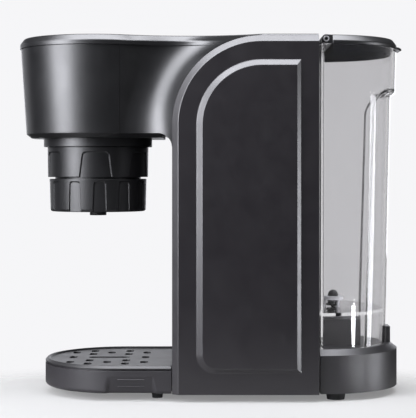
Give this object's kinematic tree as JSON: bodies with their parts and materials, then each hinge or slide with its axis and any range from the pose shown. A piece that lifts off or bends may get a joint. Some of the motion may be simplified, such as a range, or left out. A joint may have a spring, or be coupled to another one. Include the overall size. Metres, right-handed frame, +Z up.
{
  "type": "capsule coffee machine",
  "caption": "Capsule coffee machine with a slab column, overhanging round brew head with twist-off capsule holder, clear rear tank and slide-out drip tray.",
  "frame": {"origin": "centre of the bounding box on the floor plane under the feet", "axes": "+Z up, the brew head and drip tray face -Y, the water tank is at +Y, +X is the side that the picture shows"},
  "size_m": [0.1484, 0.3204, 0.2961],
  "materials": {
    "panel_plastic": "satin charcoal",
    "head_plastic": "satin black",
    "tray_plastic": "satin dark grey",
    "lid_plastic": "satin dark grey",
    "clear_plastic": "clear",
    "control_plastic": "gloss black",
    "button_plastic": "satin",
    "light_plastic": "frosted",
    "inner_plastic": "matte white",
    "pump_plastic": "matte",
    "steel": "brushed",
    "boiler_metal": "cast",
    "rubber": "matte",
    "hose_silicone": "milky",
    "board": "solder mask"
  },
  "bodies": {
    "machine": {"chassis_plate": "head_plastic", "column_front": "panel_plastic", "rear_wall": "panel_plastic", "left_side_panel": "panel_plastic", "right_side_panel": "panel_plastic", "neck_housing": "head_plastic", "head_shell": "head_plastic", "top_cover": "head_plastic", "control_panel": "control_plastic", "status_light": "light_plastic", "head_plate": "head_plastic", "brew_collar": "head_plastic", "brew_block": "inner_plastic", "boiler": "boiler_metal", "boiler_bracket": "steel", "thermostat": "inner_plastic", "pump": "pump_plastic", "pump_mount": "rubber", "pump_bracket": "steel", "flow_meter": "inner_plastic", "suction_hose": "hose_silicone", "feed_hose": "hose_silicone", "pressure_hose": "hose_silicone", "brew_hose": "hose_silicone", "power_board": "board", "control_board": "board", "rear_base": "panel_plastic", "base_cover": "head_plastic", "socket_seal": "rubber", "cord_gland": "rubber", "front_feet": "rubber", "rear_feet": "rubber", "base_screws": "steel"},
    "power_button": {"power_button": "button_plastic"},
    "small_cup_button": {"small_cup_button": "button_plastic"},
    "large_cup_button": {"large_cup_button": "button_plastic"},
    "adapter": {"adapter_ring": "head_plastic", "needle_plate": "steel", "capsule_gasket": "rubber", "brew_seal": "rubber"},
    "cup": {"capsule_cup": "head_plastic", "coffee_spout": "rubber"},
    "union": {"union_ring": "head_plastic"},
    "tray": {"drip_tray": "tray_plastic"},
    "grid": {"drip_grid": "tray_plastic"},
    "tank": {"water_tank": "clear_plastic", "valve_cage": "inner_plastic", "hinge_pins": "steel"},
    "plunger": {"valve_plunger": "rubber", "valve_spring": "steel"},
    "lid": {"tank_lid": "lid_plastic"}
  },
  "joints": [
    {"name": "power_press", "type": "slide", "parent": "machine", "child": "power_button", "axis": [0, 0, -1], "range_m": [0, 0.0012], "stiffness_N_per_m": 400, "springref_m": -0.001},
    {"name": "small_cup_press", "type": "slide", "parent": "machine", "child": "small_cup_button", "axis": [0, 0, -1], "range_m": [0, 0.0012], "stiffness_N_per_m": 400, "springref_m": -0.001},
    {"name": "large_cup_press", "type": "slide", "parent": "machine", "child": "large_cup_button", "axis": [0, 0, -1], "range_m": [0, 0.0012], "stiffness_N_per_m": 400, "springref_m": -0.001},
    {"name": "adapter_twist", "type": "hinge", "parent": "machine", "child": "adapter", "pos_m": [0, -0.09475, 0.2148], "axis": [0, 0, 1], "range_deg": [0, 35]},
    {"name": "cup_drop", "type": "slide", "parent": "adapter", "child": "cup", "axis": [0, 0, -1], "range_m": [0, 0.02]},
    {"name": "ring_turn", "type": "hinge", "parent": "cup", "child": "union", "pos_m": [0, -0.09475, 0.1777], "axis": [0, 0, 1], "range_deg": [0, 90]},
    {"name": "tray_slide", "type": "slide", "parent": "machine", "child": "tray", "axis": [0, -1, 0], "range_m": [0, 0.11]},
    {"name": "grid_lift", "type": "slide", "parent": "tray", "child": "grid", "axis": [0, 0, 1], "range_m": [0, 0.04]},
    {"name": "tank_lift", "type": "slide", "parent": "machine", "child": "tank", "axis": [0, 0, 1], "range_m": [0, 0.1]},
    {"name": "plunger_press", "type": "slide", "parent": "tank", "child": "plunger", "axis": [0, 0, 1], "range_m": [0, 0.002], "stiffness_N_per_m": 300, "springref_m": -0.001, "deforming": ["valve_spring"]},
    {"name": "lid_hinge", "type": "hinge", "parent": "tank", "child": "lid", "pos_m": [0, 0.09285, 0.2904], "axis": [1, 0, 0], "range_deg": [0, 100]}
  ],
  "couplings": [
    {"joint": "cup_drop", "follows": "ring_turn", "m_per_rad": 0.012732}
  ]
}
